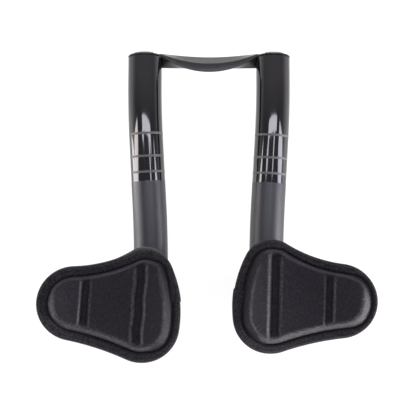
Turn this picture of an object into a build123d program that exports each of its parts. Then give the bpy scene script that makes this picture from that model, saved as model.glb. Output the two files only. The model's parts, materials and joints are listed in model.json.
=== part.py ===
from build123d import *
import math
import os

# Clip-on aero handlebar extension: two bridged extension tubes on bar clamps, with padded arm rests.
# X points to the rider's right, Y forward and Z up. The origin is on the handlebar's axis, midway
# between the clamps. Sizes are in millimetres and degrees. The +X side is modelled and then mirrored.

# Handlebar and extension tubes
BAR_DIA = 31.8
TUBE_DIA = 22.2
TUBE_WALL = 2.0
TUBE_REAR_Y = -24.0
REAR_HALF_SPACING = 37.6
TIP_HALF_SPACING = 42.1
REAR_BEND_Y = 47.0
FRONT_BEND_Y = 130.0
TIP_RUN = 33.8
REAR_BEND_RADIUS = 600.0
FRONT_BEND_RADIUS = 300.0
MIDDLE_DROP_DEG = 2.5
TIP_DROP_DEG = 9.5

# Bolts: M5 socket heads on the clamps and in the tip plugs, low heads on the arm cups
BOLT_DIA = 5.0
HEAD_DIA = 8.5
HEAD_HEIGHT = 5.0
HEAD_CHAMFER = 0.5
HEX_ACROSS = 4.0
HEX_DEPTH = 2.5
LOW_HEAD_DIA = 9.5
LOW_HEAD_HEIGHT = 2.75
LOW_HEX_DEPTH = 1.6
TIP_SCREW_LENGTH = 14.0
LOW_HEAD_CHAMFER = 0.9
BOLT_CLEARANCE = 0.25
THREAD_ROOM = 0.05
THREAD_END = 1.5

# Clamps: a ring in two halves on the handlebar, with a pinch ring for the extension above it
CLAMP_WIDTH = 26.0
CLAMP_WALL = 5.0
CLAMP_GAP = 1.5
BORE_LAND = 2.6
EAR_MARGIN = 5.0
EAR_ROUND = 5.0
BODY_EAR_HEIGHT = 10.0
CAP_EAR_HEIGHT = 8.5
COUNTERBORE_DEPTH = 4.0
PINCH_WALL = 4.4
PINCH_LENGTH = 40.0
PINCH_LAND = 1.6
PINCH_MARGIN = 5.0
PINCH_EAR_HEIGHT = 8.0
PINCH_EAR_ROUND = 2.5
PINCH_BOLT_SPACING = 26.0
PINCH_ROOF = 7.0
BOLT_BITE = 8.0
CLAMP_CHAMFER = 0.8
BAR_ROOM = 0.02

# Riser and arm cup
RISER_HEIGHT = 5.0
RISER_FILLET = 4.0
RISER_WINDOW = 9.0
CUP_BOLT_SPACING = 24.0
CUP_THREAD_DEPTH = 5.5
CUP_WALL = 3.5
CUP_INSET = 2.5
CUP_EDGE_CHAMFER = 0.8
CUP_SLOT_TRAVEL = 8.0
CUP_SLOT_FLOOR = 2.0
DISH_RADIUS = 140.0

# Arm pad outline in its own frame: three lobes joined by tangent arcs
PAD_X = 60.0
PAD_Y = 7.0
OUTER_LOBE = (23.6, -2.2, 23.7)
FRONT_LOBE = (-19.8, 17.5, 18.3)
REAR_LOBE = (-19.3, -12.3, 24.4)
FRONT_HOLLOW_RADIUS = 89.0
INNER_SIDE_RADIUS = 77.0
REAR_HOLLOW_RADIUS = 206.0

# How each soft pad was pressed onto its cup: turn in degrees, then shift in X and Y
LEFT_PAD_LAY = (4.2, 0.9, -2.1)
RIGHT_PAD_LAY = (-1.3, -0.9, 2.1)

# Pad build-up above the cup
HOOK_TAPE = 1.0
HOOK_TAPE_INSET = 13.0
BOLT_WINDOW = 13.0
BACKING = 1.0
FLANGE = 3.0
FLANGE_INSET = 1.2
PANEL_HEIGHT = 10.0
PANEL_INSET = 7.8
PANEL_ROLL = 3.4
CHANNEL_SPACING = 34.0
CHANNEL_RADIUS = 4.2
CHANNEL_DEPTH = 2.6
CHANNEL_ROLL = 1.8
BINDING_WIDTH = 6.2
BINDING_LIP = 1.0
BINDING_CHAMFER = 1.4
LAYER_ROOM = 0.05

# Bridge between the tube tips
BRIDGE_EYE = 0.8
BRIDGE_FRONT = 4.1
BRIDGE_DEPTH = 10.4
BRIDGE_FRONT_BOW = 2.1
BRIDGE_FRONT_SLOPE = 6.3
BRIDGE_END_SLOPE = 2.6
BRIDGE_TOP_WIDTH = 6.2
BRIDGE_CREST_WIDTH = 1.4
BRIDGE_END_HEIGHT = 8.9
BRIDGE_MIDDLE_HEIGHT = 5.4
BRIDGE_STATIONS = 4
BRIDGE_FILLET = 0.5
TIP_ROOM = 0.1

# Plugs in the tube ends
PLUG_LENGTH = 20.0
PLUG_BEVEL = 1.5
PLUG_RING = 1.6
PLUG_FLANGE = 1.5
PLUG_FLANGE_DIA = 18.4
PLUG_FLANGE_CHAMFER = 1.0
PLUG_FLAT = 6.2
PLUG_SCREW_SINK = 5.0
REAR_CAP_FLANGE = 2.5
REAR_CAP_CHAMFER = 1.6
REAR_CAP_SPIGOT = 10.0

# Levels and places that follow from the sizes above
bar_radius = BAR_DIA / 2
tube_radius = TUBE_DIA / 2
tube_bore = tube_radius - TUBE_WALL
tube_z = bar_radius + CLAMP_WALL + tube_radius
eye_radius = tube_bore - PLUG_RING
half_gap = CLAMP_GAP / 2
bar_bolt_y = bar_radius + BORE_LAND + BOLT_DIA / 2
bar_ear_y = bar_bolt_y + EAR_MARGIN
pinch_bolt_x = tube_radius + PINCH_LAND + BOLT_DIA / 2
pinch_reach = pinch_bolt_x + PINCH_MARGIN
pinch_top = tube_z + half_gap + PINCH_EAR_HEIGHT
pinch_bottom = tube_z - half_gap - PINCH_EAR_HEIGHT
roof_width = 2 * (pinch_bolt_x - HEAD_DIA / 2 - BOLT_CLEARANCE)
roof_z = tube_z + tube_radius + PINCH_ROOF
cup_z = roof_z + RISER_HEIGHT
dish_z = cup_z + CUP_WALL + DISH_RADIUS
pad_base = HOOK_TAPE
flange_base = pad_base + BACKING
flange_top = flange_base + FLANGE
panel_top = flange_base + PANEL_HEIGHT
middle_z = tube_z - (FRONT_BEND_Y - REAR_BEND_Y) * math.tan(math.radians(MIDDLE_DROP_DEG))
tip_y = FRONT_BEND_Y + TIP_RUN
tip_z = middle_z - TIP_RUN * math.tan(math.radians(TIP_DROP_DEG))
pad_lays = {"left": LEFT_PAD_LAY, "right": RIGHT_PAD_LAY}

# The tip frame: x across, y up the tilted end face, z out of the tube
tip_plane = Plane(
    origin=(TIP_HALF_SPACING, tip_y, tip_z),
    x_dir=(1, 0, 0),
    z_dir=(0, math.cos(math.radians(TIP_DROP_DEG)), -math.sin(math.radians(TIP_DROP_DEG))),
)
pinch_plane = Plane(origin=(0, 0, tube_z), x_dir=(1, 0, 0), z_dir=(0, -1, 0))
rear_plane = Plane(origin=(REAR_HALF_SPACING, TUBE_REAR_Y, tube_z), x_dir=(-1, 0, 0), z_dir=(0, -1, 0))
clamp_axis = Pos(REAR_HALF_SPACING, 0, 0)


def mirrored(shape):
    """The same piece on the rider's left."""
    return mirror(shape, about=Plane.YZ)


def prism(face, low, high):
    """A plan outline raised from one level to another."""
    return extrude(Pos(0, 0, low) * face, amount=high - low)


def drilled(diameter, low, high, places):
    """Vertical round cutters, or pins, at a list of plan places."""
    return [Pos(x, y, 0) * prism(Circle(diameter / 2), low, high) for x, y in places]


def ring_profile(points):
    """Face in the YZ plane from a list of (y, z) corners."""
    return make_face(Plane.YZ * Polyline(*points, close=True))


def spread(face, width):
    """A YZ or XZ profile carried both ways from its plane."""
    return extrude(face, amount=width / 2, both=True)


def bar_bore():
    """The handlebar's room through a clamp."""
    return spread(Plane.YZ * Circle(bar_radius + BAR_ROOM), 2 * CLAMP_WIDTH)


# Extension tubes and what closes their ends
def tube_path():
    """Straight rear run, outward middle run and dropped tip run, joined by tangent arcs."""
    return FilletPolyline(
        (REAR_HALF_SPACING, TUBE_REAR_Y, tube_z),
        (REAR_HALF_SPACING, REAR_BEND_Y, tube_z),
        (TIP_HALF_SPACING, FRONT_BEND_Y, middle_z),
        (TIP_HALF_SPACING, tip_y, tip_z),
        radius=[REAR_BEND_RADIUS, FRONT_BEND_RADIUS],
    )


def extension_tube():
    path = tube_path()
    start = Plane(origin=path @ 0, x_dir=(1, 0, 0), z_dir=path % 0)
    outside = sweep(start * Circle(tube_radius), path=path)
    inside = sweep(start * Circle(tube_bore), path=path)
    return outside - inside


def end_plug():
    """Push-in plug that holds the bridge's eye against the tube's tip, with a flat beside the bridge."""
    seat = tip_plane.offset(TIP_ROOM + BRIDGE_EYE)
    outline = Circle(PLUG_FLANGE_DIA / 2) & Pos(PLUG_FLANGE_DIA / 2 - PLUG_FLAT, 0) * Rectangle(
        PLUG_FLANGE_DIA, PLUG_FLANGE_DIA)
    flange = extrude(seat * outline, amount=PLUG_FLANGE)
    flange = chamfer(flange.faces().sort_by(Axis.Y)[-1].edges(), PLUG_FLANGE_CHAMFER)
    neck = extrude(seat * Circle(eye_radius - TIP_ROOM), amount=-(TIP_ROOM + BRIDGE_EYE))
    spigot = extrude(tip_plane * Circle(tube_bore - TIP_ROOM), amount=-PLUG_LENGTH)
    spigot = chamfer(spigot.edges().filter_by(GeomType.CIRCLE).sort_by(Axis.Y)[0], PLUG_BEVEL)
    front = seat.offset(PLUG_FLANGE)
    sink = extrude(front * Circle(HEAD_DIA / 2 + BOLT_CLEARANCE), amount=-PLUG_SCREW_SINK)
    tapped = extrude(front * Circle(BOLT_DIA / 2 + THREAD_ROOM), amount=-PLUG_LENGTH)
    return flange + neck + spigot - sink - tapped


def bridge_screw():
    """Socket-head screw sunk in the tip plug."""
    seat = tip_plane.offset(TIP_ROOM + BRIDGE_EYE + PLUG_FLANGE - PLUG_SCREW_SINK)
    return seat * socket_bolt(0, TIP_SCREW_LENGTH, -1)


def rear_cap():
    """Push-in plastic cap with a bevelled flange on the tube's rear end."""
    flange = extrude(rear_plane * Circle(tube_radius), amount=REAR_CAP_FLANGE)
    flange = chamfer(flange.edges().filter_by(GeomType.CIRCLE).sort_by(Axis.Y)[0], REAR_CAP_CHAMFER)
    return flange + extrude(rear_plane * Circle(tube_bore - TIP_ROOM), amount=-REAR_CAP_SPIGOT)


# Bridge: one moulded bar whose flat top turns into a sloped end at each tube
def bridge_section(x, shoulder):
    """Section across the bar, as (forward, up) corners in the tip frame."""
    share = (x / shoulder) ** 2
    inward = 1 - share
    height = BRIDGE_MIDDLE_HEIGHT + (BRIDGE_END_HEIGHT - BRIDGE_MIDDLE_HEIGHT) * share
    front = BRIDGE_FRONT - BRIDGE_FRONT_BOW * inward
    crest_front = front - BRIDGE_END_SLOPE - (BRIDGE_FRONT_SLOPE - BRIDGE_END_SLOPE) * inward
    crest_rear = crest_front - BRIDGE_CREST_WIDTH - (BRIDGE_TOP_WIDTH - BRIDGE_CREST_WIDTH) * inward
    rear = BRIDGE_FRONT - BRIDGE_DEPTH
    plane = Plane(
        origin=tip_plane.origin - Vector(TIP_HALF_SPACING - x, 0, 0),
        x_dir=tip_plane.z_dir,
        z_dir=(1, 0, 0),
    )
    corners = [
        (front, -height / 2),
        (crest_front, height / 2),
        (crest_rear, height / 2),
        (rear, -height / 2),
    ]
    face = make_face(Polyline(*corners, close=True))
    return plane * fillet(face.vertices(), BRIDGE_FILLET)


def bridge_bar():
    """The bar from plug to plug, shaped between the tubes and straight in front of their ends."""
    shoulder = TIP_HALF_SPACING - tube_radius
    end = TIP_HALF_SPACING - PLUG_FLAT - TIP_ROOM
    steps = range(-BRIDGE_STATIONS, BRIDGE_STATIONS + 1)
    span = loft([bridge_section(shoulder * step / BRIDGE_STATIONS, shoulder) for step in steps])
    straight = extrude(bridge_section(shoulder, shoulder), amount=end - shoulder)
    return span + straight + mirrored(straight)


def bridge():
    """The bar with a thin eye over each tube's end, cut back to lie against the tubes' inner sides."""
    seat = tip_plane.offset(TIP_ROOM)
    tube_room = extrude(seat * Circle(tube_radius + TIP_ROOM), amount=-PLUG_LENGTH)
    eye = extrude(seat * Circle(tube_radius), amount=BRIDGE_EYE)
    neck_room = extrude(seat * Circle(eye_radius), amount=BRIDGE_EYE)
    bar = bridge_bar() - tube_room - mirrored(tube_room)
    return bar + eye + mirrored(eye) - neck_room - mirrored(neck_room)


# Clamp pieces, modelled about the handlebar's axis and then set out to the tube
def bar_bolt_places():
    """Plan places of the two bolts that draw the handlebar ring together."""
    return [(0, bar_bolt_y), (0, -bar_bolt_y)]


def pinch_bolt_places():
    """Plan places of the two bolts on the outer side of the extension."""
    return [(pinch_bolt_x, PINCH_BOLT_SPACING / 2), (pinch_bolt_x, -PINCH_BOLT_SPACING / 2)]


def cup_bolt_places():
    """Plan places of the two arm cup bolts over the extension."""
    return [(0, CUP_BOLT_SPACING / 2), (0, -CUP_BOLT_SPACING / 2)]


def ring_plan(low, high):
    """The handlebar ring's plan, with rounded ear ends."""
    return prism(RectangleRounded(CLAMP_WIDTH, 2 * bar_ear_y, EAR_ROUND), low, high)


def end_rims(ring, axis):
    """The outer edges of a ring's two end faces."""
    ends = ring.faces().sort_by(axis)
    return ends[0].outer_wire().edges() + ends[-1].outer_wire().edges()


def pinch_ring():
    """Ring round the extension, split on its outer side, with a flat roof for the riser."""
    ears = Pos(pinch_reach / 2, 0) * Rectangle(pinch_reach, pinch_top - pinch_bottom)
    ears = fillet(ears.vertices().group_by(Axis.X)[-1], PINCH_EAR_ROUND)
    roof = Pos(0, (roof_z - tube_z) / 2) * Rectangle(roof_width, roof_z - tube_z)
    ring = spread(pinch_plane * (Circle(tube_radius + PINCH_WALL) + ears + roof), PINCH_LENGTH)
    ring = chamfer(end_rims(ring, Axis.Y), CLAMP_CHAMFER)
    slit = Pos(pinch_reach, 0) * Rectangle(2 * pinch_reach, CLAMP_GAP)
    return ring - spread(pinch_plane * slit, 2 * PINCH_LENGTH)


def clamp_body():
    """Upper half of the handlebar ring, with the extension's pinch ring above it."""
    half_pinch = PINCH_LENGTH / 2
    neck = spread(ring_profile([
        (-bar_ear_y, half_gap), (-bar_ear_y, BODY_EAR_HEIGHT), (-half_pinch, bar_radius),
        (-half_pinch, pinch_bottom), (half_pinch, pinch_bottom), (half_pinch, bar_radius),
        (bar_ear_y, BODY_EAR_HEIGHT), (bar_ear_y, half_gap),
    ]), CLAMP_WIDTH) & ring_plan(0, pinch_bottom)
    tube_room = spread(pinch_plane * Circle(tube_radius + BAR_ROOM), 2 * PINCH_LENGTH)
    tapped = BOLT_DIA + 2 * THREAD_ROOM
    bar_taps = drilled(tapped, 0, BOLT_BITE, bar_bolt_places())
    pinch_taps = drilled(tapped, pinch_bottom, tube_z, pinch_bolt_places())
    pinch_holes = drilled(BOLT_DIA + 2 * BOLT_CLEARANCE, tube_z, pinch_top, pinch_bolt_places())
    pinch_seats = drilled(HEAD_DIA + 2 * BOLT_CLEARANCE, pinch_top, roof_z, pinch_bolt_places())
    cup_taps = drilled(tapped, roof_z - CUP_THREAD_DEPTH, roof_z, cup_bolt_places())
    cutters = [bar_bore(), tube_room] + bar_taps + pinch_taps + pinch_holes + pinch_seats + cup_taps
    return clamp_axis * (neck + pinch_ring() - cutters)


def clamp_cap():
    """Lower half of the handlebar ring, with counterbored bolt ears."""
    ring = spread(Plane.YZ * Circle(bar_radius + CLAMP_WALL), CLAMP_WIDTH)
    ring = chamfer(end_rims(ring, Axis.X), CLAMP_CHAMFER)
    ears = ring_plan(-CAP_EAR_HEIGHT, -half_gap)
    lower_half = prism(Rectangle(2 * CLAMP_WIDTH, 4 * bar_ear_y), -2 * BAR_DIA, -half_gap)
    seat = COUNTERBORE_DEPTH - CAP_EAR_HEIGHT
    holes = drilled(BOLT_DIA + 2 * BOLT_CLEARANCE, -CAP_EAR_HEIGHT, 0, bar_bolt_places())
    seats = drilled(HEAD_DIA + 2 * BOLT_CLEARANCE, -2 * CAP_EAR_HEIGHT, seat, bar_bolt_places())
    cutters = [bar_bore()] + holes + seats
    return clamp_axis * ((ring & lower_half) + ears - cutters)


def hex_socket(head_height, depth):
    """The key's room in a bolt's head."""
    return prism(RegularPolygon(HEX_ACROSS / 2, 6, major_radius=False), head_height - depth, head_height)


def socket_bolt(seat_z, length, direction):
    """M5 socket-head bolt with its head's seat at seat_z and its shank along +Z or -Z."""
    head = prism(Circle(HEAD_DIA / 2), 0, HEAD_HEIGHT)
    head = chamfer(head.edges().sort_by(Axis.Z)[-1], HEAD_CHAMFER)
    shank = prism(Circle(BOLT_DIA / 2), -length, 0)
    bolt = head + shank - hex_socket(HEAD_HEIGHT, HEX_DEPTH)
    return Pos(0, 0, seat_z) * (bolt if direction < 0 else Rot(180, 0, 0) * bolt)


def low_bolt(seat_z, length):
    """Low-head bolt that lies sunk in the arm cup's slot."""
    head = prism(Circle(LOW_HEAD_DIA / 2), 0, LOW_HEAD_HEIGHT)
    head = chamfer(head.edges().sort_by(Axis.Z)[-1], LOW_HEAD_CHAMFER)
    shank = prism(Circle(BOLT_DIA / 2), -length, 0)
    return Pos(0, 0, seat_z) * (head + shank - hex_socket(LOW_HEAD_HEIGHT, LOW_HEX_DEPTH))


def bar_clamp_bolts():
    seat = COUNTERBORE_DEPTH - CAP_EAR_HEIGHT
    bolt = socket_bolt(seat, BOLT_BITE - seat - THREAD_END, 1)
    return [clamp_axis * Pos(x, y, 0) * bolt for x, y in bar_bolt_places()]


def pinch_bolts():
    bolt = socket_bolt(pinch_top, pinch_top - pinch_bottom - THREAD_END, -1)
    return [clamp_axis * Pos(x, y, 0) * bolt for x, y in pinch_bolt_places()]


def arm_cup_bolts():
    bite = CUP_THREAD_DEPTH - THREAD_END
    bolt = low_bolt(cup_z + CUP_SLOT_FLOOR, CUP_SLOT_FLOOR + RISER_HEIGHT + bite)
    return [clamp_axis * Pos(x, y, 0) * bolt for x, y in cup_bolt_places()]


def riser():
    """Spacer between the pinch ring's roof and the arm cup, with a window between its bolts."""
    outline = RectangleRounded(roof_width, PINCH_LENGTH, RISER_FILLET) - Circle(RISER_WINDOW / 2)
    block = prism(outline, roof_z, cup_z)
    return clamp_axis * (block - drilled(BOLT_DIA + 2 * BOLT_CLEARANCE, roof_z, cup_z, cup_bolt_places()))


# Arm pad outline and the dished layers that follow it
def blend_center(first, first_reach, second, second_reach, side):
    """Centre of the arc that lies at the given reaches from two lobe centres."""
    span = second - first
    along = (first_reach**2 - second_reach**2 + span.length**2) / (2 * span.length)
    across = math.sqrt(first_reach**2 - along**2)
    way = span.normalized()
    return first + way * along + Vector(-way.Y, way.X) * (side * across)


def arc_about(center, start, end, turn):
    """Arc from start to end about a centre, anticlockwise where turn is 1."""
    first = math.degrees(math.atan2(start.Y - center.Y, start.X - center.X))
    last = math.degrees(math.atan2(end.Y - center.Y, end.X - center.X))
    return CenterArc(center, (start - center).length, first, turn * ((turn * (last - first)) % 360))


def pad_outline(inset):
    """The pad's plan outline in its own frame, drawn inset from its edge."""
    outer, front, rear = (Vector(lobe[0], lobe[1]) for lobe in (OUTER_LOBE, FRONT_LOBE, REAR_LOBE))
    outer_r, front_r, rear_r = OUTER_LOBE[2], FRONT_LOBE[2], REAR_LOBE[2]
    front_hollow = blend_center(
        outer, outer_r + FRONT_HOLLOW_RADIUS, front, front_r + FRONT_HOLLOW_RADIUS, -1)
    inner_side = blend_center(front, INNER_SIDE_RADIUS - front_r, rear, INNER_SIDE_RADIUS - rear_r, 1)
    rear_hollow = blend_center(rear, rear_r + REAR_HOLLOW_RADIUS, outer, outer_r + REAR_HOLLOW_RADIUS, -1)

    def touch(center, radius, toward):
        return center + (toward - center).normalized() * (radius - inset)

    a = touch(outer, outer_r, rear_hollow)
    b = touch(outer, outer_r, front_hollow)
    c = touch(front, front_r, front_hollow)
    d = touch(front, front_r, front + (front - inner_side))
    e = touch(rear, rear_r, rear + (rear - inner_side))
    f = touch(rear, rear_r, rear_hollow)
    return make_face([
        arc_about(outer, a, b, 1), arc_about(front_hollow, b, c, -1), arc_about(front, c, d, 1),
        arc_about(inner_side, d, e, 1), arc_about(rear, e, f, 1), arc_about(rear_hollow, f, a, -1),
    ])


def cup_place():
    return Pos(PAD_X, PAD_Y)


def pad_place(side):
    turn, shift_x, shift_y = pad_lays[side]
    return Pos(PAD_X + shift_x, PAD_Y + shift_y) * Rot(0, 0, turn)


def dished(face, low, high):
    """A plan outline as a layer that lies from low to high above the cup's dished upper face."""
    axis = Plane(origin=(PAD_X, 0, dish_z), x_dir=(1, 0, 0), z_dir=(0, 1, 0))
    shell = spread(axis * (Circle(DISH_RADIUS - low) - Circle(DISH_RADIUS - high)), 2 * DISH_RADIUS)
    return (prism(face, 0, dish_z) & shell).solid()


def rim_edges(layer):
    """The edges round a layer's upper and lower face, without the upright seams."""
    return layer.edges().filter_by(lambda edge: edge.geom_type != GeomType.LINE)


def dish_height(level, x):
    """Height of a dished level at a distance across from the dish's low line."""
    return dish_z - math.sqrt((DISH_RADIUS - level) ** 2 - x**2)


def arm_cup():
    """Dished cup with a flat-bottomed boss and two cross slots for its bolts."""
    shell = dished(cup_place() * pad_outline(CUP_INSET), -CUP_WALL, 0)
    shell = chamfer(rim_edges(shell), CUP_EDGE_CHAMFER)
    boss_face = clamp_axis * RectangleRounded(roof_width, PINCH_LENGTH, RISER_FILLET)
    boss_top = dish_height(-CUP_WALL / 2, REAR_HALF_SPACING - PAD_X - roof_width / 2)
    fill = dished(cup_place() * pad_outline(CUP_INSET), -2 * CUP_WALL - RISER_HEIGHT, -CUP_WALL / 2)
    boss = prism(boss_face, cup_z, boss_top) & fill
    slots = []
    for x, y in cup_bolt_places():
        place = clamp_axis * Pos(x, y)
        slots.append(place * prism(
            SlotCenterToCenter(CUP_SLOT_TRAVEL, BOLT_DIA + 2 * BOLT_CLEARANCE), cup_z, dish_z))
        slots.append(place * prism(
            SlotCenterToCenter(CUP_SLOT_TRAVEL, LOW_HEAD_DIA + 2 * BOLT_CLEARANCE),
            cup_z + CUP_SLOT_FLOOR, dish_z))
    return shell + boss - slots


def hook_tape():
    """Hook tape stuck in the cup, with a window over each bolt."""
    face = cup_place() * pad_outline(HOOK_TAPE_INSET)
    for x, y in cup_bolt_places():
        face -= clamp_axis * Pos(x, y) * SlotCenterToCenter(CUP_SLOT_TRAVEL, BOLT_WINDOW)
    return dished(face, LAYER_ROOM, HOOK_TAPE - LAYER_ROOM)


def pad_backing(side):
    """Loop fabric under the pad, inside the binding's lower lip."""
    face = pad_place(side) * pad_outline(BINDING_WIDTH + LAYER_ROOM)
    return dished(face, pad_base, flange_base - LAYER_ROOM)


def channel_profile():
    """Section of a fold channel below the panel's face: a round floor between two rolled edges."""
    reach = CHANNEL_ROLL + CHANNEL_RADIUS
    half_width = math.sqrt(reach**2 - (reach - CHANNEL_DEPTH) ** 2)
    floor = Vector(0, CHANNEL_RADIUS - CHANNEL_DEPTH)
    edges = [Vector(side * half_width, 0) for side in (-1, 1)]
    rolls = [edge - Vector(0, CHANNEL_ROLL) for edge in edges]
    joins = [floor + (roll - floor) * (CHANNEL_RADIUS / reach) for roll in rolls]
    lid = Polyline(edges[1], edges[1] + Vector(0, reach), edges[0] + Vector(0, reach), edges[0])
    return make_face([
        arc_about(rolls[0], edges[0], joins[0], -1),
        arc_about(floor, joins[0], joins[1], 1),
        arc_about(rolls[1], joins[1], edges[1], -1),
        *lid.edges(),
    ])


def pad_channels(side):
    """Cutters for the two fold channels, each square to the dished face that it is folded into."""
    cutters = []
    for x in (-CHANNEL_SPACING / 2, CHANNEL_SPACING / 2):
        tilt = math.asin(x / (DISH_RADIUS - panel_top))
        section = Plane(
            origin=(x, 0, dish_height(panel_top, x)),
            x_dir=(math.cos(tilt), 0, math.sin(tilt)),
            z_dir=(0, -1, 0),
        )
        cutters.append(pad_place(side) * spread(section * channel_profile(), DISH_RADIUS))
    return cutters


def on_panel_top(edge):
    """Whether an edge lies on the cushion's upper dished face."""
    middle = edge @ 0.5
    reach = math.hypot(middle.X - PAD_X, middle.Z - dish_z)
    return abs(reach - (DISH_RADIUS - panel_top)) < LAYER_ROOM


def pad_cushion(side):
    """Foam pad: a thin flange all round, and a raised panel with a rolled rim and two fold channels."""
    flange = dished(pad_place(side) * pad_outline(FLANGE_INSET), flange_base, flange_top)
    panel = dished(pad_place(side) * pad_outline(PANEL_INSET), flange_base, panel_top)
    panel = fillet(rim_edges(panel).filter_by(on_panel_top), PANEL_ROLL)
    for cutter in pad_channels(side):
        panel = panel - cutter
    return flange + panel


def pad_binding(side):
    """Woven tape folded over the flange's edge."""
    low, high = flange_base - BINDING_LIP, flange_top + BINDING_LIP
    tape = dished(pad_place(side) * pad_outline(0), low, high)
    tape = chamfer(rim_edges(tape), BINDING_CHAMFER)
    middle = prism(pad_place(side) * pad_outline(BINDING_WIDTH), 0, dish_z)
    slot = dished(
        pad_place(side) * pad_outline(FLANGE_INSET - LAYER_ROOM),
        flange_base - LAYER_ROOM, flange_top + LAYER_ROOM)
    return tape - middle - slot


# Every piece by its node's name
one_side = {
    "extension_tube": extension_tube,
    "end_plug": end_plug,
    "rear_cap": rear_cap,
    "clamp_body": clamp_body,
    "clamp_cap": clamp_cap,
    "riser": riser,
    "arm_cup": arm_cup,
    "hook_tape": hook_tape,
}
by_lay = {
    "pad_backing": pad_backing,
    "pad_cushion": pad_cushion,
    "pad_binding": pad_binding,
}
bolt_groups = {
    "bar_clamp_bolts": bar_clamp_bolts,
    "pinch_bolts": pinch_bolts,
    "arm_cup_bolts": arm_cup_bolts,
    "bridge_screws": lambda: [bridge_screw()],
}

nodes = {"bridge": bridge()}
for name, make in one_side.items():
    piece = make()
    nodes["right_" + name] = piece
    nodes["left_" + name] = mirrored(piece)
for name, make in by_lay.items():
    nodes["right_" + name] = make("right")
    nodes["left_" + name] = mirrored(make("left"))
for name, make in bolt_groups.items():
    bolts = make()
    nodes[name] = Compound(children=bolts + [mirrored(bolt) for bolt in bolts])

os.makedirs("parts", exist_ok=True)
for name, shape in nodes.items():
    export_step(shape, f"parts/{name}.step")
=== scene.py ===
import bpy
import bmesh
import json
import math
from bisect import bisect_left
from mathutils import Matrix, Quaternion, Vector


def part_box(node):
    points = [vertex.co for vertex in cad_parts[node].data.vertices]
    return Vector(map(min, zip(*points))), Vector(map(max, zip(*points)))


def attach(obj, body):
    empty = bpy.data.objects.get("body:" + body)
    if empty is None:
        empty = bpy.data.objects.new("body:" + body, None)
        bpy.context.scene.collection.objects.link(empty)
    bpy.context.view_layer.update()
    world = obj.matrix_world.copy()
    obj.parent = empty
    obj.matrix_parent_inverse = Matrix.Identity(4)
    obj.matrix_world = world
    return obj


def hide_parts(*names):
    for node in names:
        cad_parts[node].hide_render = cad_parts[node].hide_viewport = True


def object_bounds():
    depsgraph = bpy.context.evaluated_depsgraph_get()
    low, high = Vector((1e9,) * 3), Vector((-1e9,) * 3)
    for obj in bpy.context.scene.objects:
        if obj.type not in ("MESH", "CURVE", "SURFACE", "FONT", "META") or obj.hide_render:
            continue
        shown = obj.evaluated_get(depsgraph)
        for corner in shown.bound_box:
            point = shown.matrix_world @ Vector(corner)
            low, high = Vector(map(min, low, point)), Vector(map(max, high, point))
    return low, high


# Clip-on aero handlebar extension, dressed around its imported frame.
# The frame is in metres, X to the rider's right, Y forward and Z up. Sizes below are in millimetres.
MM = 0.001
SIDES = {"left": -1, "right": 1}
TINY = 1e-6

# Extension tubes: the right tube's centre line as corners and bends, and the section
TUBE_RADIUS = 11.1
TUBE_BORE_RADIUS = 9.1
TUBE_CORNERS = ((37.6, -24.0, 32.0), (37.6, 47.0, 32.0), (42.1, 130.0, 28.376), (42.1, 163.8, 22.72))
TUBE_BEND_RADII = (600.0, 300.0)
TUBE_TIP_GAP = 0.6
TUBE_STEP = 1.5
TUBE_SIDES = 96
BEND_LEAST_STEPS = 4

# Finish along a tube, where a place is the Y of the tube's centre line
GLOSS_EDGE_Y = 81.7
RING_PLACES_Y = (112.6, 97.9, 87.7)
RING_HALF_WIDTH = 0.7
RING_SHIFT = {"left": -0.45, "right": 0.45}
RING_ROUGHNESS = 0.5

# Rigid pieces, with the width of their softened edges
EDGE_SOFTNESS = {
    "bridge": 0.0, "bridge_screws": 0.15, "bar_clamp_bolts": 0.15, "pinch_bolts": 0.15,
    "arm_cup_bolts": 0.15, "end_plug": 0.15, "rear_cap": 0.3, "clamp_body": 0.3, "clamp_cap": 0.3,
    "riser": 0.3, "arm_cup": 0.3,
}
SOFT_EDGE_STEPS = 2

# Meshes: angles from which an edge is softened or sharp, or up to which it is flat, and the reach of a join
SOFT_EDGE_DEG = 28.0
SHARP_EDGE_DEG = 40.0
SHARP_FOLD_DEG = 60.0
FLAT_DEG = 0.5
JOIN_REACH = 0.002

# Arm pads: lobes as centre and radius, joined by tangent arcs, and lays as a turn in degrees and a shift
PAD_X = 60.0
PAD_Y = 7.0
OUTER_LOBE = (23.6, -2.2, 23.7)
FRONT_LOBE = (-19.8, 17.5, 18.3)
REAR_LOBE = (-19.3, -12.3, 24.4)
FRONT_HOLLOW_RADIUS = 89.0
INNER_SIDE_RADIUS = 77.0
REAR_HOLLOW_RADIUS = 206.0
PAD_LAY = {"left": (4.2, 0.9, -2.1), "right": (-1.3, -0.9, 2.1)}
RIM_STEP = 0.55
RIM_LEAST_STEPS = 2
CUP_WALL = 3.5
DISH_RADIUS = 140.0

# Pad layers, as insets from the rim and levels above the dished cup
FLANGE_INSET = 1.2
FLANGE_BASE = 2.0
FLANGE_TOP = 5.0
EDGE_ROUND = 0.3
PANEL_TOP = 12.0
PANEL_CROWN = 0.5
PANEL_INSET = 15.5

# Rings of points on a pad
BASE_SHARES = (0.05, 0.3, 0.6, 0.85, 1.0)
WALL_ROWS = 16
SHOULDER_ROWS = 4
PANEL_ROWS = 60

# Wall round the raised panel. A pair of amounts is for the pad's outer end and its inner side.
WALL_ROOM = 0.2
WALL_RUN = 4.8
WALL_FRONT_CUT = 2.2
WALL_EXTRA = {"left": (0.0, 2.0), "right": (2.4, 2.0)}
WALL_FOOT_EASE = 0.08
WALL_TOP_EASE = 0.16
TAPE_HIDDEN = {"left": 0.0, "right": 0.7}
TAPE_CROWDED = {"left": (0.0, 2.4), "right": (3.0, 0.8)}

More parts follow.
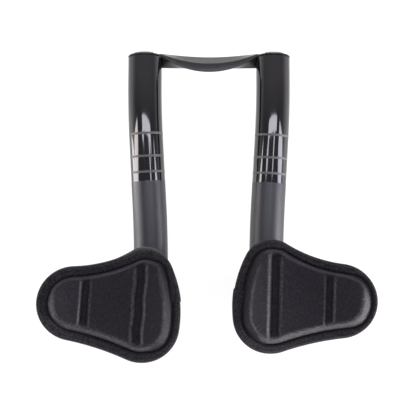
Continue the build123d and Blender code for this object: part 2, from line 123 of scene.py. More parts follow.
# Fold channels across the panel. A pair of runs is for a channel's inner slope and its outer one.
CHANNEL_X = 17.0
CHANNEL_HALF_FLOOR = 1.3
CHANNEL_DEPTH = 3.0
OUTER_CHANNEL_RUNS = {"left": (2.4, 2.4), "right": (2.2, 2.4)}
INNER_CHANNEL_RUNS = {"left": (3.0, 3.2), "right": (3.8, 2.8)}
INNER_CHANNEL_SWAY = {"left": 0.3, "right": 0.0}
SWAY_LENGTH = 20.6
CHANNEL_FOOT_EASE = 0.15
CHANNEL_TOP_EASE = 0.12
CHANNEL_FADE = (-1.5, 3.0)

# Spans of a part of the rim's outward direction, over which a wall or its painted highlight changes
END_SPAN = (0.2, 0.85)
WALL_FRONT_SPAN = (0.1, 0.8)
FRONT_HIGHLIGHT_FADE_SPAN = (0.0, 0.7)
REAR_HIGHLIGHT_SPAN = (0.5, 0.9)
INNER_HIGHLIGHT_SPAN = (0.2, 0.7)

# Painted highlight on the pad's cover, a paler knit along its ridges and channel edges, where a start,
# rise, delay or place is a share of a slope's width
REAR_HIGHLIGHT_LOSS = {"left": 0.5, "right": 0.0}
WALL_HIGHLIGHT_START = 0.1
WALL_HIGHLIGHT_RISE = 0.25
INNER_HIGHLIGHT_DELAY = 0.6
RIDGE_HIGHLIGHT_WIDTH = 1.2
CHANNEL_HIGHLIGHT_PLACE = 0.72
CHANNEL_HIGHLIGHT_SPAN = (0.15, 0.5)

# Woven binding: a tape folded over the flange's edge, with room for the flange inside it
BINDING_WIDTH = 6.2
BINDING_THICKNESS = 1.0
TAPE_EDGE_DROP = 0.45
TAPE_SHOULDER_INSET = 0.35
TAPE_SHOULDER_DROP = 0.1
TAPE_LEAST_FLAT = 0.9
TAPE_FLAT_SHARES = (0.7, 0.35)
TAPE_FOLD_REACH = 3.0
TAPE_FOLD_STEPS = 12
TAPE_FOLD_FULLNESS = 0.85
TAPE_UNDER_INSETS = (4.0, 5.2, BINDING_WIDTH)
TAPE_ROOM = 0.1
TAPE_SIDE_ROOM = 0.2

# Lap of the tape's end, where the rim faces inward
LAP_FACING = -0.7
LAP_Y = 4.5
LAP_LENGTH = 22.0
LAP_THICKNESS = 0.55
LAP_EXTRA_WIDTH = 2.2
LAP_FRONT = {"left": True, "right": False}

# Stitches along the tape, with their lift and dip in thread radii
STITCH_PITCH = 3.0
STITCH_LENGTH = 2.2
STITCH_RADIUS = 0.22
STITCH_INSET = 1.1
STITCH_LIFT = 1.1
STITCH_DIP = 2.6
STITCH_SECTIONS = 7
STITCH_SIDES = 6

# Patterns and tints of the finishes
KNIT_PITCH = 0.9
KNIT_HEIGHT_SHARE = 0.5
SPECKLE_HEIGHT_SHARE = 2.5
TAPE_WEAVE_PITCH = 1.3
TAPE_RIB_PITCH = 1.9
TAPE_TONE_SHARE = 0.08
PILE_LIT_TIP_SHARE = 1.4
PILE_SHADED_ROOT_SHARE = 0.5
INK_TINT = (1.03, 0.94, 1.15)
SATIN_BLACK = (0.007, 0.0075, 0.013, 1.0)
KNIT_GLOSS_TINT = (0.93, 0.82, 1.0, 1.0)
KNIT_SHEEN_TINT = (0.92, 0.8, 1.0, 1.0)

# Camera: straight above, one metre from the tubes' level
CAMERA_PLACE = (-0.45, 65.0, 1032.0)
CAMERA_FIELD_DEG = 15.47
CAMERA_ROLL_DEG = 0.13
CAMERA_REACH = 20000.0

# Floor and lights
FLOOR_HALF_WIDTH = 6000.0
FLOOR_DROP = 0.2
FLOOR_GLOW = 0.86
TENT_TINT = (1.0, 0.955, 1.05, 1.0)
WARM_LIGHT = (1.0, 0.95, 0.94)
COOL_LIGHT = (0.93, 0.94, 1.06)
CEILING_LEVEL = 1050.0
CEILING_RADIANCE = 8.4
CARD_LIFT = 1.0

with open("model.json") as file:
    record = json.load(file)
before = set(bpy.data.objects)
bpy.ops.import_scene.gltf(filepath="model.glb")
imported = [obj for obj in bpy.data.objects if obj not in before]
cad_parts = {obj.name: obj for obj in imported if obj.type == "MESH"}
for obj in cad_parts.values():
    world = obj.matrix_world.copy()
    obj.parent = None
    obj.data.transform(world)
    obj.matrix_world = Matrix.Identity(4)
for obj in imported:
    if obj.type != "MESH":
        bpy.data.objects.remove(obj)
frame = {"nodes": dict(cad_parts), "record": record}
cad_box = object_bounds()
lowest_z = cad_box[0][2] / MM
slot_of_node = {row["node"]: row["material_slot"] for row in frame["record"]["subparts"]}
cup_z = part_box("right_arm_cup")[0].z / MM
dish_z = cup_z + CUP_WALL + DISH_RADIUS


# Shader helpers
def set_sockets(tree, node, sockets):
    """Gives each named socket its value, or a link where the value is another socket."""
    for name, value in sockets.items():
        if isinstance(value, bpy.types.NodeSocket):
            tree.links.new(value, node.inputs[name])
        else:
            node.inputs[name].default_value = value


def add(tree, kind, sockets=None, **settings):
    """A new shader node with its settings and sockets."""
    node = tree.nodes.new(kind)
    for name, value in settings.items():
        setattr(node, name, value)
    set_sockets(tree, node, sockets or {})
    return node


def math_node(tree, operation, *values):
    return add(tree, "ShaderNodeMath", dict(enumerate(values)), operation=operation).outputs[0]


def mix_value(tree, factor, first, second):
    """A blend of two numbers. The mix node's sockets go by number, because some share a name."""
    return add(tree, "ShaderNodeMix", {0: factor, 2: first, 3: second}).outputs[0]


def mix_color(tree, factor, first, second):
    """A blend of two colours."""
    sockets = {0: factor, 6: first, 7: second}
    return add(tree, "ShaderNodeMix", sockets, data_type="RGBA").outputs[2]


def remap(tree, value, start=0.0, end=1.0, low=0.0, high=1.0):
    """A value moved from the range between start and end to the range between low and high."""
    sockets = {"Value": value, "From Min": start, "From Max": end, "To Min": low, "To Max": high}
    return add(tree, "ShaderNodeMapRange", sockets).outputs[0]


def object_point(tree):
    return add(tree, "ShaderNodeTexCoord").outputs["Object"]


def stored(tree, name, output):
    """What a mesh stores on its points under a name."""
    return add(tree, "ShaderNodeAttribute", attribute_name=name).outputs[output]


def cloth_place(tree):
    """Places along and across a cloth, in millimetres."""
    parts = add(tree, "ShaderNodeSeparateXYZ", {0: stored(tree, "cloth", "Vector")})
    return parts.outputs[0], parts.outputs[1]


def noise(tree, size_mm, detail=2.0):
    """Soft noise with features of about the given size."""
    sockets = {"Vector": object_point(tree), "Scale": 1 / (size_mm * MM), "Detail": detail}
    return add(tree, "ShaderNodeTexNoise", sockets).outputs["Fac"]


def ridges(tree, place, pitch_mm):
    """Even ridges a pitch apart, from -1 to 1, for a place in millimetres."""
    return math_node(tree, "SINE", math_node(tree, "MULTIPLY", place, 2 * math.pi / pitch_mm))


def weave(tree, along, across, pitch_mm):
    """Over-and-under weave from two crossed sets of ridges."""
    return math_node(tree, "MULTIPLY", ridges(tree, along, pitch_mm), ridges(tree, across, pitch_mm))


def bump(tree, height, depth_mm, strength):
    sockets = {"Height": height, "Distance": depth_mm * MM, "Strength": strength}
    return add(tree, "ShaderNodeBump", sockets).outputs["Normal"]


def grey(level, warmth=0.0):
    """A near-neutral colour, warmer where warmth is above 0."""
    return (level * (1 + warmth), level, level * (1 - warmth), 1.0)


def ink(level):
    """The faintly violet black of the paint and the cloth."""
    return tuple(level * part for part in INK_TINT) + (1.0,)


def new_material(name):
    """A node material with its Principled shader."""
    material = bpy.data.materials.new(name)
    material.use_nodes = True
    shader = material.node_tree.nodes["Principled BSDF"]
    return material, material.node_tree, shader


# Materials
def tube_material():
    """Gloss black in front and satin black behind, with three grey rings printed on the gloss."""
    material, tree, shader = new_material("tube_finish")
    station = stored(tree, "station", "Fac")
    gloss = math_node(tree, "GREATER_THAN", station, GLOSS_EDGE_Y)
    satin = math_node(tree, "SUBTRACT", 1.0, gloss)
    ring = 0.0
    for place in RING_PLACES_Y:
        this_ring = math_node(tree, "COMPARE", station, place, RING_HALF_WIDTH)
        ring = math_node(tree, "MAXIMUM", ring, this_ring)
    cloud = noise(tree, size_mm=14.0, detail=3.0)
    satin_rough = remap(tree, cloud, low=0.37, high=0.45)
    gloss_rough = remap(tree, cloud, low=0.045, high=0.075)
    rough = mix_value(tree, gloss, satin_rough, gloss_rough)
    color = mix_color(tree, gloss, SATIN_BLACK, ink(0.003))
    grain = math_node(tree, "MULTIPLY", noise(tree, size_mm=0.25), satin)
    set_sockets(tree, shader, {
        "Base Color": mix_color(tree, ring, color, grey(0.06, warmth=-0.02)),
        "Roughness": mix_value(tree, ring, rough, RING_ROUGHNESS),
        "IOR": 1.62,
        "Normal": bump(tree, grain, depth_mm=0.02, strength=0.5),
    })
    return material


def satin_plastic(name, rough, grain_mm, depth_mm):
    """Moulded black plastic with a fine spark-eroded grain and a range of roughness."""
    material, tree, shader = new_material(name)
    cloud = noise(tree, size_mm=9.0, detail=3.0)
    set_sockets(tree, shader, {
        "Base Color": mix_color(tree, cloud, grey(0.0096), grey(0.0144)),
        "Roughness": remap(tree, cloud, low=rough[0], high=rough[1]),
        "IOR": 1.5,
        "Normal": bump(tree, noise(tree, size_mm=grain_mm), depth_mm=depth_mm, strength=0.6),
    })
    return material


def anodised_metal():
    """Blasted and black anodised alloy, rubbed lighter along its edges."""
    material, tree, shader = new_material("black_anodised")
    cloud = noise(tree, size_mm=11.0, detail=4.0)
    pointiness = add(tree, "ShaderNodeNewGeometry").outputs["Pointiness"]
    rubbed = remap(tree, pointiness, start=0.52, end=0.6)
    color = mix_color(tree, cloud, grey(0.008, warmth=-0.05), grey(0.014, warmth=-0.03))
    set_sockets(tree, shader, {
        "Base Color": mix_color(tree, rubbed, color, grey(0.035)),
        "Metallic": 0.12,
        "Roughness": remap(tree, cloud, low=0.42, high=0.54),
        "Specular IOR Level": 0.28,
        "Normal": bump(tree, noise(tree, size_mm=0.22), depth_mm=0.02, strength=0.5),
    })
    return material


def plug_metal():
    """Grey alloy of the tubes' end plugs."""
    material, tree, shader = new_material("grey_plug_alloy")
    cloud = noise(tree, size_mm=6.0, detail=4.0)
    set_sockets(tree, shader, {
        "Base Color": mix_color(tree, cloud, grey(0.16, warmth=0.03), grey(0.22, warmth=0.03)),
        "Metallic": 0.6,
        "Roughness": remap(tree, cloud, low=0.3, high=0.42),
        "Normal": bump(tree, noise(tree, size_mm=0.2), depth_mm=0.01, strength=0.5),
    })
    return material


def black_oxide():
    """Blackened steel with a faint oily cloud."""
    material, tree, shader = new_material("black_oxide_steel")
    cloud = noise(tree, size_mm=3.0, detail=4.0)
    set_sockets(tree, shader, {
        "Base Color": mix_color(tree, cloud, grey(0.035, warmth=-0.04), grey(0.075, warmth=0.03)),
        "Metallic": 0.85,
        "Roughness": remap(tree, cloud, low=0.28, high=0.45),
        "Normal": bump(tree, noise(tree, size_mm=0.3), depth_mm=0.01, strength=0.5),
    })
    return material


def pile_fabric(name, level, dot_mm, depth_mm, sheen):
    """Hook or loop pile: a field of small rounded dots, with painted shade: lighter at their tips and
    darker down between them.
    """
    material, tree, shader = new_material(name)
    sockets = {"Vector": object_point(tree), "Scale": 1 / (dot_mm * MM)}
    dots = add(tree, "ShaderNodeTexVoronoi", sockets).outputs["Distance"]
    height = math_node(tree, "SUBTRACT", 1.0, dots)
    # Painted shade: the colour darkens with the depth between the dots and lightens at their tips
    set_sockets(tree, shader, {
        "Base Color": mix_color(tree, dots, grey(level * PILE_LIT_TIP_SHARE), grey(level * PILE_SHADED_ROOT_SHARE)),
        "Roughness": 0.85,
        "Sheen Weight": sheen,
        "Sheen Roughness": 0.5,
        "Normal": bump(tree, height, depth_mm=depth_mm, strength=0.8),
    })
    return material


def pad_fabric():
    """Close elastic knit with a soft sheen, and a painted highlight: a paler knit where the mesh stores it,
    along ridges and channel edges.
    """
    material, tree, shader = new_material("pad_knit")
    knit = weave(tree, *cloth_place(tree), KNIT_PITCH)
    fuzz = noise(tree, size_mm=0.5, detail=3.0)
    cloud = noise(tree, size_mm=7.0, detail=3.0)
    speckle = noise(tree, size_mm=1.5, detail=4.0)
    height = math_node(tree, "MULTIPLY_ADD", knit, KNIT_HEIGHT_SHARE, fuzz)
    height = math_node(tree, "MULTIPLY_ADD", speckle, SPECKLE_HEIGHT_SHARE, height)
    spots = remap(tree, speckle, start=0.42, end=0.66)
    color = mix_color(tree, cloud, ink(0.004), ink(0.006))
    plain_knit = mix_color(tree, spots, color, ink(0.0125))
    # Painted highlight: a much paler knit, mixed in by the painted highlight amount the mesh stores
    highlight_knit = mix_color(tree, spots, grey(0.031), grey(0.072))
    set_sockets(tree, shader, {
        "Base Color": mix_color(tree, stored(tree, "stretch", "Fac"), plain_knit, highlight_knit),
        "Roughness": remap(tree, fuzz, low=0.4, high=0.6),
        "Specular IOR Level": 0.2,
        "Specular Tint": KNIT_GLOSS_TINT,
        "Sheen Weight": 0.36,
        "Sheen Roughness": 0.25,
        "Sheen Tint": KNIT_SHEEN_TINT,
        "Normal": bump(tree, height, depth_mm=0.2, strength=0.7),
    })
    return material


def binding_fabric():
    """Woven tape with ribs along it and uneven yarn."""
    material, tree, shader = new_material("binding_weave")
    along, across = cloth_place(tree)
    yarn = weave(tree, along, across, TAPE_WEAVE_PITCH)
    fuzz = noise(tree, size_mm=0.6, detail=3.0)
    tone = noise(tree, size_mm=1.7, detail=4.0)
    for pattern in (ridges(tree, across, TAPE_RIB_PITCH), yarn):
        tone = math_node(tree, "MULTIPLY_ADD", pattern, TAPE_TONE_SHARE, tone)
    set_sockets(tree, shader, {
        "Base Color": mix_color(tree, remap(tree, tone, start=0.36, end=0.66), ink(0.003), ink(0.024)),
        "Roughness": 0.9,
        "Specular IOR Level": 0.25,
        "Sheen Weight": 0.05,
        "Sheen Roughness": 0.5,
        "Normal": bump(tree, math_node(tree, "ADD", yarn, fuzz), depth_mm=0.16, strength=0.7),
    })
    return material


def thread_fabric():
    """Black sewing thread."""
    material, tree, shader = new_material("sewing_thread")
    fibre = noise(tree, size_mm=0.3, detail=3.0)
    set_sockets(tree, shader, {
        "Base Color": mix_color(tree, fibre, grey(0.006), grey(0.016)),
        "Roughness": 0.7,
        "Normal": bump(tree, fibre, depth_mm=0.05, strength=0.6),
    })
    return material


def floor_white():
    """Plain pale floor, lit up to white."""
    material, tree, shader = new_material("floor_white")
    set_sockets(tree, shader, {
        "Base Color": grey(0.2),
        "Roughness": 0.3,
        "Emission Color": (1.0, 1.0, 1.0, 1.0),
        "Emission Strength": FLOOR_GLOW,
    })
    return material


sewing_thread = thread_fabric()
plug_alloy = plug_metal()
material_of_slot = {
    "tube": tube_material(),
    "bridge_plastic": satin_plastic("bridge_satin", rough=(0.26, 0.34), grain_mm=0.35, depth_mm=0.015),
    "clamp_metal": anodised_metal(),
    "bolt_steel": black_oxide(),
    "cup_plastic": satin_plastic("cup_grain", rough=(0.5, 0.6), grain_mm=0.6, depth_mm=0.06),
    "soft_plastic": satin_plastic("cap_satin", rough=(0.45, 0.55), grain_mm=0.4, depth_mm=0.03),
    "hook_tape": pile_fabric("hook_pile", level=0.015, dot_mm=1.1, depth_mm=0.4, sheen=0.1),
    "loop_backing": pile_fabric("loop_pile", level=0.025, dot_mm=0.7, depth_mm=0.25, sheen=0.4),
    "pad_fabric": pad_fabric(),
    "binding_tape": binding_fabric(),
}


# Mesh helpers
def new_object(name, data):
    """A new object in the scene."""
    made = bpy.data.objects.new(name, data)
    bpy.context.scene.collection.objects.link(made)
    return made


def smooth_piece(name, build):
    """A new smooth-shaded object from a mesh that is being built, with its normals made outward."""
    bmesh.ops.recalc_face_normals(build, faces=build.faces)
    mesh = bpy.data.meshes.new(name)
    build.to_mesh(mesh)
    build.free()
    mesh.polygons.foreach_set("use_smooth", [True] * len(mesh.polygons))
    return new_object(name, mesh)


def mesh_piece(name, points_mm, faces):
    """A new smooth-shaded object from points in millimetres and faces."""
    mesh = bpy.data.meshes.new(name)
    mesh.from_pydata([Vector(point) * MM for point in points_mm], [], faces)
    build = bmesh.new()
    build.from_mesh(mesh)
    bpy.data.meshes.remove(mesh)
    return smooth_piece(name, build)


def ring_faces(ring_count, ring_size, closed):
    """Quads between rings of points, joined end to end where closed."""
    faces = []
    for ring in range(ring_count if closed else ring_count - 1):
        low = ring * ring_size
        high = (ring + 1) % ring_count * ring_size
        for step in range(ring_size):
            beside = (step + 1) % ring_size
            faces.append((low + step, low + beside, high + beside, high + step))
    return faces


def capped_faces(ring_count, ring_size, first=0):
    """Quads between rings of points, with a face over each end, counted from a first point."""
    faces = ring_faces(ring_count, ring_size, closed=False)
    faces.append(tuple(range(ring_size)))
    faces.append(tuple(range((ring_count - 1) * ring_size, ring_count * ring_size)))
    return [tuple(first + corner for corner in face) for face in faces]


def store_values(piece, name, values):
    """A value for each point of a piece."""
    piece.data.attributes.new(name, "FLOAT", "POINT").data.foreach_set("value", values)


def store_vectors(piece, name, vectors):
    """A vector for each point of a piece."""
    flat = [part for vector in vectors for part in vector]
    piece.data.attributes.new(name, "FLOAT_VECTOR", "POINT").data.foreach_set("vector", flat)


def join_doubles(piece):
    """Points that share a place become one, so that no face is left without area."""
    build = bmesh.new()
    build.from_mesh(piece.data)
    bmesh.ops.remove_doubles(build, verts=build.verts, dist=JOIN_REACH * MM)
    build.to_mesh(piece.data)
    build.free()


def settle(piece, node):
    """The piece rides on the frame, stands for its CAD node and takes that node's finish."""
    slot = slot_of_node[node]
    piece.data.materials.append(material_of_slot[slot])
    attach(piece, "root")
    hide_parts(node)


# Rigid pieces
def soften(piece, width_mm):
    """Narrow rounded edges, as a part of the piece's own mesh."""
    rounding = piece.modifiers.new("soft_edges", "BEVEL")
    rounding.width = width_mm * MM
    rounding.segments = SOFT_EDGE_STEPS
    rounding.limit_method = "ANGLE"
    rounding.angle_limit = math.radians(SOFT_EDGE_DEG)
    depsgraph = bpy.context.evaluated_depsgraph_get()
    softened = bpy.data.meshes.new_from_object(piece.evaluated_get(depsgraph))
    plain = piece.data
    piece.modifiers.clear()
    piece.data = softened
    bpy.data.meshes.remove(plain)


def dressed(node, edge_mm):
    """The solid's own faces, with smooth shading and with edges softened by the given width."""
    build = bmesh.new()
    build.from_mesh(frame["nodes"][node].data)
    bmesh.ops.remove_doubles(build, verts=build.verts, dist=JOIN_REACH * MM)
    flat = math.radians(FLAT_DEG)
    bmesh.ops.dissolve_limit(build, angle_limit=flat, verts=build.verts, edges=build.edges)
    piece = smooth_piece(node + "_finish", build)
    if edge_mm:
        soften(piece, edge_mm)
    piece.data.set_sharp_from_angle(angle=math.radians(SHARP_EDGE_DEG))
    settle(piece, node)
    return piece


# Extension tubes
def bend(before, corner, after, radius):
    """Points round one corner of the centre line, on an arc of the given radius."""
    way_in = (corner - before).normalized()
    way_out = (after - corner).normalized()
    turn = way_in.angle(way_out)
    start = corner - way_in * (radius * math.tan(turn / 2))
    aside = (way_out - way_in * way_out.dot(way_in)).normalized()
    steps = max(BEND_LEAST_STEPS, round(radius * turn / TUBE_STEP))
    points = []
    for step in range(steps + 1):
        angle = turn * step / steps
        ahead = way_in * (radius * math.sin(angle))
        points.append(start + ahead + aside * (radius * (1 - math.cos(angle))))
    return points


def tube_line():
    """The right tube's centre line in steps, up to the gap before the bridge."""
    corners = [Vector(corner) for corner in TUBE_CORNERS]
    points = [corners[0]]
    for place, radius in enumerate(TUBE_BEND_RADII, start=1):
        points += bend(corners[place - 1], corners[place], corners[place + 1], radius)
    points.append(corners[-1] + (corners[-2] - corners[-1]).normalized() * TUBE_TIP_GAP)
    line = [points[0]]
    for point in points[1:]:
        start = line[-1]
        gap = point - start
        parts = max(1, math.ceil(gap.length / TUBE_STEP - TINY))
        line += [start + gap * (part / parts) for part in range(1, parts + 1)]
    return line


def tube_piece(side):
    """A hollow tube with flat ends, which stores the place along its centre line for its finish."""
    line = tube_line()
    last = len(line) - 1
    rings = [(index, TUBE_RADIUS) for index in range(last + 1)]
    rings += [(index, TUBE_BORE_RADIUS) for index in range(last, -1, -1)]
    points = []
    stations = []
    for index, radius in rings:
        center = line[index]
        way = (line[min(index + 1, last)] - line[max(index - 1, 0)]).normalized()
        right = (Vector((1, 0, 0)) - way * way.x).normalized()
        up = right.cross(way)
        for step in range(TUBE_SIDES):
            angle = 2 * math.pi * step / TUBE_SIDES
            point = center + (right * math.cos(angle) + up * math.sin(angle)) * radius
            points.append((point.x * SIDES[side], point.y, point.z))
            stations.append(center.y + RING_SHIFT[side])
    piece = mesh_piece(side + "_tube", points, ring_faces(len(rings), TUBE_SIDES, closed=True))
    store_values(piece, "station", stations)
    piece.data.set_sharp_from_angle(angle=math.radians(SHARP_FOLD_DEG))
    settle(piece, side + "_extension_tube")


# Pad outline
def blend_center(first, first_reach, second, second_reach, side):
    """Centre of an arc that lies at given reaches from two other centres, on one side of their line."""
    span = second - first
    along = (first_reach**2 - second_reach**2 + span.length_squared) / (2 * span.length)
    across = math.sqrt(first_reach**2 - along**2)
    way = span.normalized()
    return first + way * along + Vector((-way.y, way.x)) * (side * across)


def touch(center, radius, toward):
    """The point of a circle that lies toward another point."""
    return center + (toward - center).normalized() * radius


def arc_points(center, start, end, turn):
    """Points and outward directions from start up to end, anticlockwise about a centre where turn is 1."""
    radius = (start - center).length
    first = math.atan2(start.y - center.y, start.x - center.x)
    last = math.atan2(end.y - center.y, end.x - center.x)
    sweep = turn * ((turn * (last - first)) % (2 * math.pi))
    count = max(RIM_LEAST_STEPS, round(abs(sweep) * radius / RIM_STEP))
    row = []
    for step in range(count):
        angle = first + sweep * step / count
        way = Vector((math.cos(angle), math.sin(angle)))
        row.append((center + way * radius, way * turn))
    return row


def pad_outline():
    """The pad's rim in its own frame, as points and outward directions, with X toward its outer end."""
    outer, front, rear = (Vector(lobe[:2]) for lobe in (OUTER_LOBE, FRONT_LOBE, REAR_LOBE))
    outer_r, front_r, rear_r = OUTER_LOBE[2], FRONT_LOBE[2], REAR_LOBE[2]
    front_hollow = blend_center(
        outer, outer_r + FRONT_HOLLOW_RADIUS, front, front_r + FRONT_HOLLOW_RADIUS, -1)
    inner_side = blend_center(front, INNER_SIDE_RADIUS - front_r, rear, INNER_SIDE_RADIUS - rear_r, 1)
    rear_hollow = blend_center(rear, rear_r + REAR_HOLLOW_RADIUS, outer, outer_r + REAR_HOLLOW_RADIUS, -1)
    outer_start = touch(outer, outer_r, rear_hollow)
    outer_end = touch(outer, outer_r, front_hollow)
    front_start = touch(front, front_r, front_hollow)
    front_end = touch(front, front_r, front * 2 - inner_side)
    rear_start = touch(rear, rear_r, rear * 2 - inner_side)
    rear_end = touch(rear, rear_r, rear_hollow)
    return (
        arc_points(outer, outer_start, outer_end, 1)
        + arc_points(front_hollow, outer_end, front_start, -1)
        + arc_points(front, front_start, front_end, 1)
        + arc_points(inner_side, front_end, rear_start, 1)
        + arc_points(rear, rear_start, rear_end, 1)
        + arc_points(rear_hollow, rear_end, outer_start, -1)
    )


rim = pad_outline()


def pad_point(side, plan, level):
    """A place on the pad, given in the pad's own frame and as a level above the dished cup."""
    turn, shift_x, shift_y = PAD_LAY[side]
    turned = Matrix.Rotation(math.radians(turn), 2) @ plan
    x = turned.x + shift_x
    z = dish_z - math.sqrt((DISH_RADIUS - level) ** 2 - x**2)
    return ((x + PAD_X) * SIDES[side], turned.y + shift_y + PAD_Y, z)


# Pad slopes
def smooth_step(value, low, high):
    """Rise from 0 to 1 between two values, level at both."""
    share = min(1.0, max(0.0, (value - low) / (high - low)))
    return share * share * (3 - 2 * share)


def eased_slope(share, foot, top):
    """Rise from 0 to 1 along a straight slope, eased over twice the given shares at its foot and top."""
    slope = 1 / (1 - foot - top)
    if share < 2 * foot:
        return slope * share**2 / (4 * foot)
    if share > 1 - 2 * top:
        return 1 - slope * (1 - share) ** 2 / (4 * top)
    return slope * (share - foot)


def channel_share(side, plan):
    """How far up the side of the nearer fold channel a place is: 0 on its flat floor and 1 at its edge."""
    if plan.x > 0:
        across = plan.x - CHANNEL_X
        runs = OUTER_CHANNEL_RUNS[side]
    else:
        sway = INNER_CHANNEL_SWAY[side] * math.sin(2 * math.pi * plan.y / SWAY_LENGTH)
        across = plan.x + CHANNEL_X - sway
        runs = INNER_CHANNEL_RUNS[side]
    return max(0.0, (abs(across) - CHANNEL_HALF_FLOOR) / runs[across > 0])


def panel_level(side, plan, inside):
    """Level of the raised panel, crowned between its channels, which fade out at the top of its wall."""
    share = min(1.0, channel_share(side, plan))
    drop = CHANNEL_DEPTH * (1 - eased_slope(share, CHANNEL_FOOT_EASE, CHANNEL_TOP_EASE))
    fall = PANEL_CROWN * min(1.0, abs(plan.x) / CHANNEL_X) ** 2
    return PANEL_TOP - fall - drop * smooth_step(inside, *CHANNEL_FADE)


def at_ends(amounts, outward):
    """A blend of two amounts, the first for a pad's outer end and the second for its inner side."""
    outer, inner = amounts
    return outer * smooth_step(outward.x, *END_SPAN) + inner * smooth_step(-outward.x, *END_SPAN)


def crowding(side, outward):
    """How far the foam's wall leans out over the tape, which is most at one end of each pad."""
    return TAPE_HIDDEN[side] + at_ends(TAPE_CROWDED[side], outward)


def wall_foot(side, outward):
    """Inset of the panel wall's foot, beside the tape's inner edge."""
    return BINDING_WIDTH + WALL_ROOM - crowding(side, outward)


def wall_run(side, outward):
    """Width of the panel's wall, which is steeper along the front and gentler at some ends."""
    gentle = at_ends(WALL_EXTRA[side], outward)
    return WALL_RUN + gentle - WALL_FRONT_CUT * smooth_step(outward.y, *WALL_FRONT_SPAN)


# Painted highlight on the pad's cover
def ridge_painted_highlight(side, outward):
    """How much painted highlight lies on the wall's ridge, which is least along the front and, on a pad
    with a rear loss, along the rear.
    """
    rear = 1 - REAR_HIGHLIGHT_LOSS[side] * smooth_step(-outward.y, *REAR_HIGHLIGHT_SPAN)
    return rear * (1 - smooth_step(outward.y, *FRONT_HIGHLIGHT_FADE_SPAN))


def wall_painted_highlight(side, outward, share):
    """How much painted highlight lies part of the way up the wall, which on the inner side comes late."""
    start = WALL_HIGHLIGHT_START + INNER_HIGHLIGHT_DELAY * smooth_step(-outward.x, *INNER_HIGHLIGHT_SPAN)
    return ridge_painted_highlight(side, outward) * smooth_step(share, start, start + WALL_HIGHLIGHT_RISE)


def channel_painted_highlight(side, plan, inside):
    """How much painted highlight lies along a channel's edge."""
    away = abs(channel_share(side, plan) - CHANNEL_HIGHLIGHT_PLACE)
    return (1 - smooth_step(away, *CHANNEL_HIGHLIGHT_SPAN)) * smooth_step(inside, *CHANNEL_FADE)


# Pad cushions. A spot is a place in the pad's own frame, its level and the painted highlight there.
def wall_spot(side, place, outward, share):
    """A spot on the panel's wall, a share of the way up it."""
    run = wall_run(side, outward)
    plan = place - outward * (wall_foot(side, outward) + run * share)
    height = panel_level(side, plan, run * (share - 1)) - FLANGE_TOP
    level = FLANGE_TOP + height * eased_slope(share, WALL_FOOT_EASE, WALL_TOP_EASE)
    return plan, level, wall_painted_highlight(side, outward, share)


def shoulder_spot(side, place, outward, share):
    """A spot between the wall's top and the last ring that follows the rim."""
    top = wall_foot(side, outward) + wall_run(side, outward)
    inside = (PANEL_INSET - top) * share
    plan = place - outward * (top + inside)
    # Painted highlight along the top of the wall, fading inward over the ridge's width
    ridge = ridge_painted_highlight(side, outward) * (1 - smooth_step(inside, 0.0, RIDGE_HIGHLIGHT_WIDTH))
    return plan, panel_level(side, plan, inside), max(ridge, channel_painted_highlight(side, plan, inside))


def panel_spot(side, plan):
    """A spot on the panel's middle."""
    return plan, panel_level(side, plan, PANEL_INSET), channel_painted_highlight(side, plan, PANEL_INSET)


def cushion_rows(side):
    """Rings of spots from the base's middle, round the flange and up the wall, to the panel's middle."""
    inner = [place - outward * PANEL_INSET for place, outward in rim]
    rows = [[(place * share, FLANGE_BASE, 0.0) for place in inner] for share in BASE_SHARES]
    flange_corners = (
        (FLANGE_INSET + EDGE_ROUND, FLANGE_BASE), (FLANGE_INSET, FLANGE_BASE + EDGE_ROUND),
        (FLANGE_INSET, FLANGE_TOP - EDGE_ROUND), (FLANGE_INSET + EDGE_ROUND, FLANGE_TOP),
    )
    for inset, level in flange_corners:
        rows.append([(place - outward * inset, level, 0.0) for place, outward in rim])
    for step in range(WALL_ROWS + 1):
        rows.append([wall_spot(side, place, outward, step / WALL_ROWS) for place, outward in rim])
    for step in range(1, SHOULDER_ROWS + 1):
        rows.append([shoulder_spot(side, place, outward, step / SHOULDER_ROWS) for place, outward in rim])
    for step in range(1, PANEL_ROWS):
        rows.append([panel_spot(side, place * (1 - step / PANEL_ROWS)) for place in inner])
    return rows


def cushion_piece(side):
    """Moulded foam pad under elastic knit, as one closed form on the dished cup."""
    rows = cushion_rows(side)
    spots = [spot for row in rows for spot in row]
    points = [pad_point(side, plan, level) for plan, level, stretch in spots]
    piece = mesh_piece(side + "_cushion", points, capped_faces(len(rows), len(rim)))
    store_vectors(piece, "cloth", [(plan.x, plan.y, 0.0) for plan, level, stretch in spots])
    # Painted highlight amount for the knit's colour at each point
    store_values(piece, "stretch", [stretch for plan, level, stretch in spots])
    settle(piece, side + "_pad_cushion")


# Woven binding. A row is a place on the rim, its outward direction, and the lap's share of rise there.
def travelled(places):
    """The length along a line of places, at each of them."""
    lengths = [0.0]
    for before, place in zip(places, places[1:]):
        lengths.append(lengths[-1] + (place - before).length)
    return lengths


def lap_rows(side):
    """Rows from the tape's end round the rim to that end again."""
    inner = [index for index, (place, outward) in enumerate(rim) if outward.x < LAP_FACING]
    end = min(inner, key=lambda index: abs(rim[index][0].y - LAP_Y))
    round_trip = rim[end:] + rim[:end + 1]
    lengths = travelled([place for place, outward in round_trip])
    if LAP_FRONT[side]:
        lengths = [lengths[-1] - length for length in lengths]
    return [
        (place, outward, 1 - smooth_step(length, 0.0, LAP_LENGTH))
        for (place, outward), length in zip(round_trip, lengths)
    ]


def tape_width(side, outward, lap):
    return BINDING_WIDTH - crowding(side, outward) + LAP_EXTRA_WIDTH * lap


